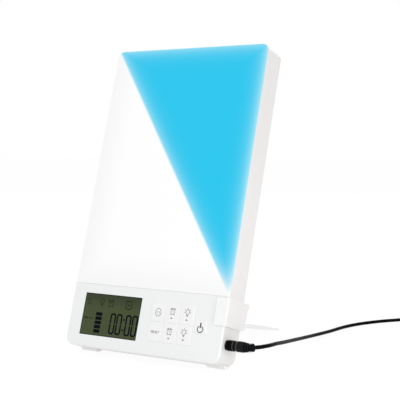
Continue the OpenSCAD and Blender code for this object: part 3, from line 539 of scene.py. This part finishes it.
lips += [(rounded(*POWER_AT, SQUARE + GAP, SQUARE + GAP, CORNER), LIP_WIDTH)]
printed("key_mat_lips", lips, -0.13, BENEATH, silicone, "lamp")
printed("seam_bead", [([(-71.6, 50.4), (71.6, 50.4)], 0.18)], 0.03, BENEATH, silicone, "lamp")
KEY_FACE, INK = -0.38, 0.05
UP, DOWN = 1, -1


def chevron(x, z, way):
    """A small filled arrow head that points up or down."""
    return [([(x - 0.7, z - 0.3 * way), (x, z + 0.45 * way), (x + 0.7, z - 0.3 * way)], 0.6)]


def word(letters, x, z, high):
    """Capitals of straight strokes side by side, each on a unit square that is scaled to the height."""
    shapes = {"R": [[(0, 0), (0, 1), (0.75, 1), (1, 0.87), (1, 0.62), (0.75, 0.48), (0, 0.48)], [(0.45, 0.48), (1, 0)]],
              "E": [[(1, 0), (0, 0), (0, 1), (1, 1)], [(0, 0.52), (0.85, 0.52)]],
              "S": [[(0, 0.08), (0.25, 0), (0.75, 0), (1, 0.14), (1, 0.38), (0.75, 0.52), (0.25, 0.52), (0, 0.64),
                     (0, 0.86), (0.25, 1), (0.75, 1), (1, 0.92)]],
              "T": [[(0, 1), (1, 1)], [(0.5, 1), (0.5, 0)]]}
    wide = 0.72 * high
    left = x - (len(letters) * 1.42 - 0.42) * wide / 2
    return [(np.array(path) * (wide, high) + (left + 1.42 * wide * i, z - high / 2), 0.3)
            for i, letter in enumerate(letters) for path in shapes[letter]]


sound = [(arc(12.9, 33.1, 2.5, 0, 360, 24, 1.16), 0.36), (arc(12.9, 33.1, 1.2, 130, 230, 6, 1.14), 0.3),
         (arc(12.9, 33.1, 1.2, -50, 50, 6, 1.14), 0.3)]
RAYS = (-10, 35, 90, 145, 190)
for name, ink, lines in (
        ("key_sound", grey_ink, sound),
        ("key_reset", grey_ink, word("RESET", 12.95, 17.9, 1.5)),
        ("key_alarm_up", grey_ink, alarm_clock(25.9, 35.0, 1.12) + chevron(25.6, 29.6, UP)),
        ("key_alarm_down", grey_ink, alarm_clock(25.6, 19.6, 1.12) + chevron(25.7, 14.4, DOWN)),
        ("key_light_up", grey_ink, bulb(39.2, 34.9, 1.05, RAYS) + chevron(39.2, 29.5, UP)),
        ("key_light_down", grey_ink, bulb(38.7, 19.6, 1.05, RAYS) + chevron(38.8, 14.6, DOWN)),
        ("key_power", dark_ink, [(arc(52.3, 24.0, 2.4, 118, 422, 28), 0.7), ([(52.3, 25.0), (52.3, 28.9)], 1.15)])):
    printed(name + "_print", lines, KEY_FACE - INK, KEY_FACE, ink, name)


# ---- Feet ----
# Two rolls of translucent silicone rubber, pressed into recesses under the back cover, and a strip
# of the same rubber along the end of the stand's leg.
cover(silicone, "rubber_feet", "leg_strip")


# ---- Stand ----
# A clip in white ABS that snaps round the body's side and is held by two hooks on the back, and a wide tapered
# leg that turns on a steel pin. The clip's front lip and the leg are painted lighter, as painted light.
stand_abs = plastic("stand_abs", (0.82, 0.805, 0.80), 0.38, grain=2400.0, depth=0.00004, drift=0.012, soak=0.0006)
_, depth, _ = lamp_place(stand_abs)
# Painted light: the clip's front lip is painted lighter than the rest of the clip.
tint(stand_abs, ramp(stand_abs, depth, -0.0013, 0.0006), under=(1.0, 0.975, 0.985))
cover(stand_abs, "stand_bracket")
# Painted light: the leg is a lighter copy of the clip's white plastic.
leg_painted_light = plastic("leg_painted_light", (0.90, 0.895, 0.89), 0.38, grain=2400.0, depth=0.00004, drift=0.012, soak=0.0006)
cover(leg_painted_light, "stand_leg")
pin_steel = metal("pin_steel", (0.58, 0.58, 0.60), 0.22, (0.1, 1.0, 1.0))
cover(pin_steel, "hinge_pin")


# ---- Light engine ----
# White and blue LEDs on an aluminium-core board under white solder mask, in a white moulded tray
# that throws their light at the diffuser. A flat two-wire lead feeds it from the power board.
tray_abs = plastic("tray_abs", (0.88, 0.88, 0.88), 0.55, drift=0.015, soak=0.001)
cover(tray_abs, "reflector_tray")
cover(plastic("mask_white", (0.80, 0.81, 0.80), 0.3, grain=500.0, drift=0.03), "led_board")
cover(plastic("lead_pvc", (0.72, 0.69, 0.60), 0.45, drift=0.05), "led_lead")
for name, node, hue in (("phosphor", "white_leds", (0.95, 0.80, 0.30)),
                        ("blue_dies", "blue_leds", (0.05, 0.35, 0.95))):
    gel = plastic(name, hue, 0.2, grain=1500.0, drift=0.06)
    shader = gel.node_tree.nodes["Principled BSDF"]
    shader.inputs["Emission Color"].default_value = (*hue, 1)
    shader.inputs["Emission Strength"].default_value = 1.5
    cover(gel, node)


# ---- Electronics ----
# Two glass-fibre boards under green solder mask with their copper traces showing through, the tact
# switches, the barrel socket, a small loudspeaker, and a coin cell in its holder for the clock.
def board(name, mask, trace):
    """Solder mask over copper: a brick pattern of thin joints stands for the traces."""
    material = plastic(name, mask, 0.3, grain=900.0, depth=0.00001, drift=0.05)
    place = wire(material, "TexCoord").outputs["Object"]
    upright = wire(material, "Mapping", {"Vector": place, "Rotation": (np.pi / 2, 0.0, 0.0)}).outputs[0]
    lines = wire(material, "TexBrick", {"Vector": upright, "Scale": 260.0, "Mortar Size": 0.03,
                                        "Brick Width": 0.9, "Row Height": 0.5}).outputs["Fac"]
    tint(material, lines, trace)
    return material


cover(board("mask_green", (0.012, 0.11, 0.045), (0.04, 0.20, 0.08)), "control_board", "power_board")
black_nylon = plastic("black_nylon", (0.018, 0.018, 0.02), 0.45, drift=0.2)
cover(black_nylon, "key_switches", "dc_jack")
cover(plastic("speaker_black", (0.03, 0.03, 0.032), 0.7, grain=600.0, depth=0.00008, drift=0.3), "speaker")
cover(plastic("holder_nylon", (0.70, 0.68, 0.62), 0.5, drift=0.04), "cell_holder")
cover(metal("cell_steel", (0.66, 0.66, 0.68), 0.2, (0.3, 1.0, 0.3)), "backup_cell")
